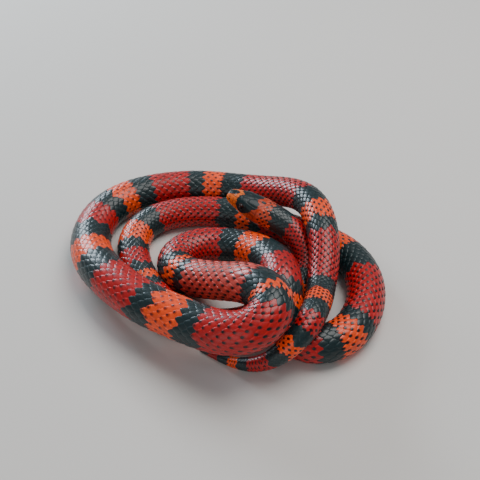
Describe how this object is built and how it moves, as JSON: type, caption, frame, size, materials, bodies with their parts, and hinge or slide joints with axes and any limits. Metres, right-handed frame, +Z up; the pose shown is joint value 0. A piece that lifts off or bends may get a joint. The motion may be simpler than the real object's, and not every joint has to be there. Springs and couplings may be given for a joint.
{
  "type": "milk snake",
  "caption": "Milk snake at rest in loose coils, its head on its own back, ringed red, black and orange.",
  "frame": {"origin": "on the floor, at the bottom centre of the whole snake's box", "axes": "+Z up, +X along the longer side of the coils, +Y from the front run to the back run, with the snout pointing to -X"},
  "size_m": [0.2222, 0.2096, 0.0609],
  "materials": {
    "skin": "smooth glossy scales in rings of crimson, black, orange and black",
    "eye": "clear wet gloss over a near black iris and pupil"
  },
  "bodies": {
    "root": {"head": "skin", "lower_jaw": "skin", "eye_left": "eye", "eye_right": "eye", "neck": "skin", "body_01": "skin", "body_02": "skin", "body_03": "skin", "body_04": "skin", "body_05": "skin", "body_06": "skin", "body_07": "skin", "body_08": "skin", "body_09": "skin", "body_10": "skin", "body_11": "skin", "body_12": "skin", "body_13": "skin", "body_14": "skin", "tail_root": "skin", "tail": "skin"}
  },
  "joints": []
}
